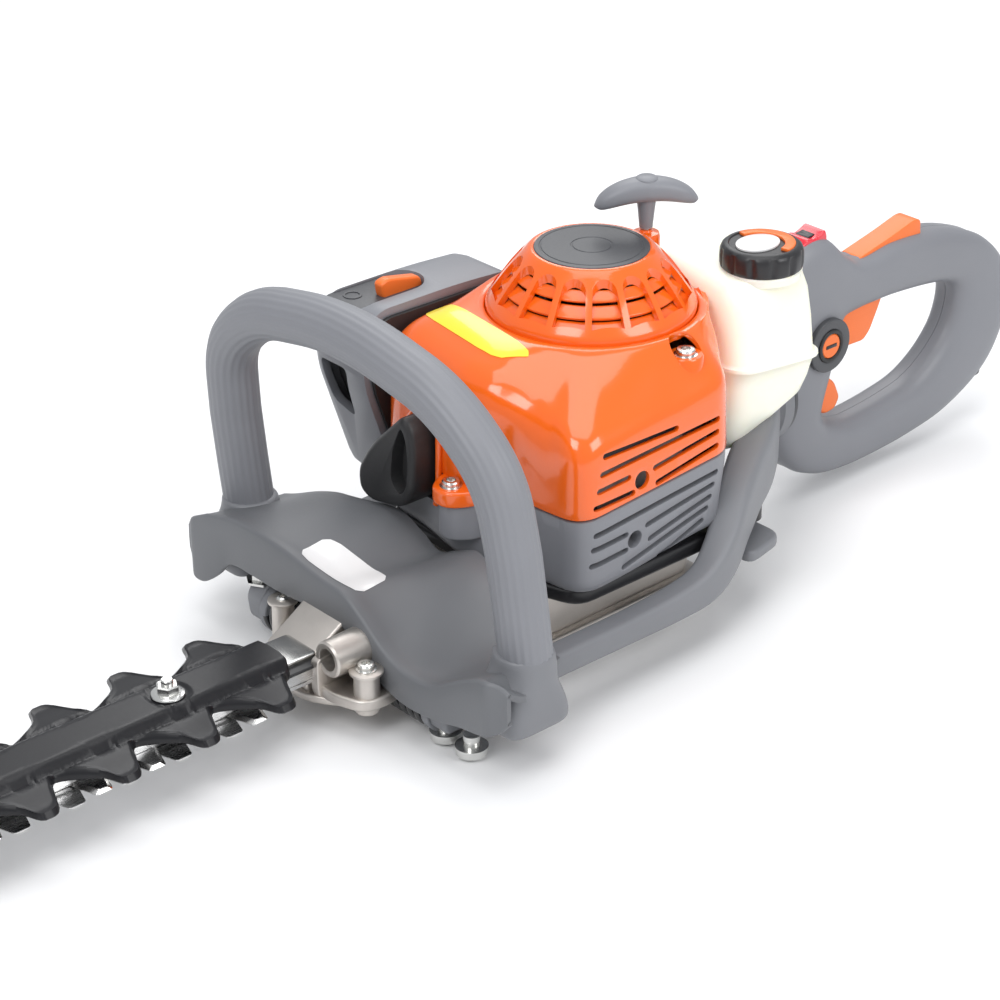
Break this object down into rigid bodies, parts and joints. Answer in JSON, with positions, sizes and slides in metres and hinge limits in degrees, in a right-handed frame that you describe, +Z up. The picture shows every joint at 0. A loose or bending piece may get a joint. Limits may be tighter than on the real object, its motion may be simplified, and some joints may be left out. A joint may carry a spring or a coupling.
{
  "type": "hedge trimmer",
  "caption": "Petrol hedge trimmer: orange cowled engine with recoil starter, arched front handle on a hand guard, swivelling rear handle with trigger, double-sided cutting bar.",
  "frame": {"origin": "middle of the whole machine's box, on the surface it stands on", "axes": "+X along the cutting bar to its tip, +Y to the machine's left, +Z up"},
  "size_m": [1.07, 0.238, 0.211],
  "materials": {
    "orange_shell": "gloss moulded",
    "orange_lever": "satin moulded",
    "grey_shell": "fine grained",
    "grey_frame": "fine grained",
    "guard_grey": "fine grained",
    "black_plastic": "satin",
    "black_rubber": "matte",
    "soft_grip": "ribbed",
    "tank_plastic": "translucent satin",
    "red_switch": "gloss",
    "cast_aluminium": "as cast",
    "steel": "ground",
    "zinc_steel": "zinc plated",
    "spring_steel": "black oxide",
    "cast_iron": "machined",
    "ceramic": "glazed",
    "foam": "open foam",
    "cord_fibre": "braided",
    "emblem": "satin"
  },
  "bodies": {
    "base": {"gear_case_lower": "cast_aluminium", "gear_case_upper": "cast_aluminium", "crankcase": "cast_aluminium", "main_bearings": "steel", "cylinder": "cast_aluminium", "spark_plug": "ceramic", "spark_plug_boot": "black_rubber", "muffler": "cast_iron", "ignition_coil": "black_plastic", "engine_cowl": "orange_shell", "lower_cover": "grey_shell", "fan_cover": "orange_shell", "emblem_disc": "emblem", "starter_guide": "orange_shell", "recoil_spring": "spring_steel", "carburetor": "cast_aluminium", "filter_base": "black_plastic", "filter_element": "foam", "filter_cover": "grey_shell", "cover_screws": "zinc_steel", "fuel_tank": "tank_plastic", "fuel_hose": "black_rubber", "handle_frame": "grey_frame", "front_handle": "steel", "front_grip": "soft_grip", "handle_foot_left": "grey_frame", "handle_foot_right": "grey_frame", "hand_guard": "guard_grey", "guard_bolts": "zinc_steel", "front_springs": "spring_steel", "rear_isolators": "black_rubber", "guide_bar": "steel", "tooth_guard": "black_plastic", "bar_bolts": "zinc_steel", "bar_nuts": "zinc_steel"},
    "crank": {"crankshaft_lower": "steel", "crankshaft_upper": "steel", "clutch_shoes": "cast_iron", "flywheel": "cast_aluminium"},
    "drum": {"clutch_drum": "steel"},
    "gear": {"drive_gear": "steel"},
    "piston_set": {"piston": "cast_aluminium", "wrist_pin": "steel", "connecting_rod": "steel"},
    "blade_upper": {"upper_blade": "steel"},
    "blade_lower": {"lower_blade": "steel"},
    "pulley": {"starter_pulley": "black_plastic"},
    "pull": {"starter_handle": "grey_shell", "starter_cord": "cord_fibre"},
    "choke": {"choke_lever": "orange_lever"},
    "cap": {"fuel_cap": "black_plastic", "cap_seal": "black_rubber"},
    "rear_handle": {"rear_handle_left": "grey_shell", "rear_handle_right": "grey_shell", "swivel_bush": "black_rubber", "handle_screws": "zinc_steel"},
    "trigger": {"throttle_trigger": "orange_lever"},
    "lockout": {"throttle_lockout": "orange_lever"},
    "switch": {"stop_switch": "red_switch"},
    "catch": {"handle_catch": "orange_lever"}
  },
  "joints": [
    {"name": "crank_spin", "type": "hinge", "parent": "base", "child": "crank", "pos_m": [-0.219, 0, 0.09], "axis": [0, 0, 1], "continuous": true},
    {"name": "gear_spin", "type": "hinge", "parent": "base", "child": "gear", "pos_m": [-0.177, 0, 0.03], "axis": [0, 0, 1], "continuous": true},
    {"name": "drum_spin", "type": "hinge", "parent": "base", "child": "drum", "pos_m": [-0.219, 0, 0.04], "axis": [0, 0, 1], "continuous": true},
    {"name": "piston_stroke", "type": "slide", "parent": "base", "child": "piston_set", "axis": [1, 0, 0], "range_m": [-0.026, 0]},
    {"name": "upper_blade_stroke", "type": "slide", "parent": "base", "child": "blade_upper", "axis": [1, 0, 0], "range_m": [-0.009, 0.009]},
    {"name": "lower_blade_stroke", "type": "slide", "parent": "base", "child": "blade_lower", "axis": [1, 0, 0], "range_m": [-0.009, 0.009]},
    {"name": "starter_pull", "type": "slide", "parent": "base", "child": "pull", "axis": [0, 0, 1], "range_m": [0, 0.7], "deforming": ["starter_cord"]},
    {"name": "pulley_spin", "type": "hinge", "parent": "base", "child": "pulley", "pos_m": [-0.219, 0, 0.154], "axis": [0, 0, 1], "range_deg": [0, 1760]},
    {"name": "choke_swing", "type": "hinge", "parent": "base", "child": "choke", "pos_m": [-0.169, -0.084, 0.141], "axis": [0, 1, 0], "range_deg": [-16, 16]},
    {"name": "cap_turn", "type": "hinge", "parent": "base", "child": "cap", "pos_m": [-0.297, 0.038, 0.17], "axis": [0, 0, 1], "range_deg": [0, 540]},
    {"name": "rear_handle_turn", "type": "hinge", "parent": "base", "child": "rear_handle", "pos_m": [-0.34, 0, 0.07], "axis": [1, 0, 0], "range_deg": [-90, 90]},
    {"name": "trigger_pull", "type": "hinge", "parent": "rear_handle", "child": "trigger", "pos_m": [-0.395, 0, 0.102], "axis": [0, 1, 0], "range_deg": [0, 12], "stiffness_Nm_per_rad": 0.08, "springref_deg": -8.59},
    {"name": "lockout_press", "type": "hinge", "parent": "rear_handle", "child": "lockout", "pos_m": [-0.441, 0, 0.121], "axis": [0, -1, 0], "range_deg": [0, 9], "stiffness_Nm_per_rad": 0.08, "springref_deg": -8.59},
    {"name": "switch_rock", "type": "hinge", "parent": "rear_handle", "child": "switch", "pos_m": [-0.371, 0, 0.142], "axis": [0, 1, 0], "range_deg": [-8, 8]},
    {"name": "catch_squeeze", "type": "hinge", "parent": "rear_handle", "child": "catch", "pos_m": [-0.369, 0, 0.066], "axis": [0, -1, 0], "range_deg": [0, 10], "stiffness_Nm_per_rad": 0.08, "springref_deg": -8.59}
  ],
  "couplings": [
    {"joint": "drum_spin", "follows": "gear_spin", "ratio": -4.25},
    {"joint": "lower_blade_stroke", "follows": "upper_blade_stroke", "ratio": -1},
    {"joint": "pulley_spin", "follows": "starter_pull", "rad_per_m": 43.103}
  ]
}
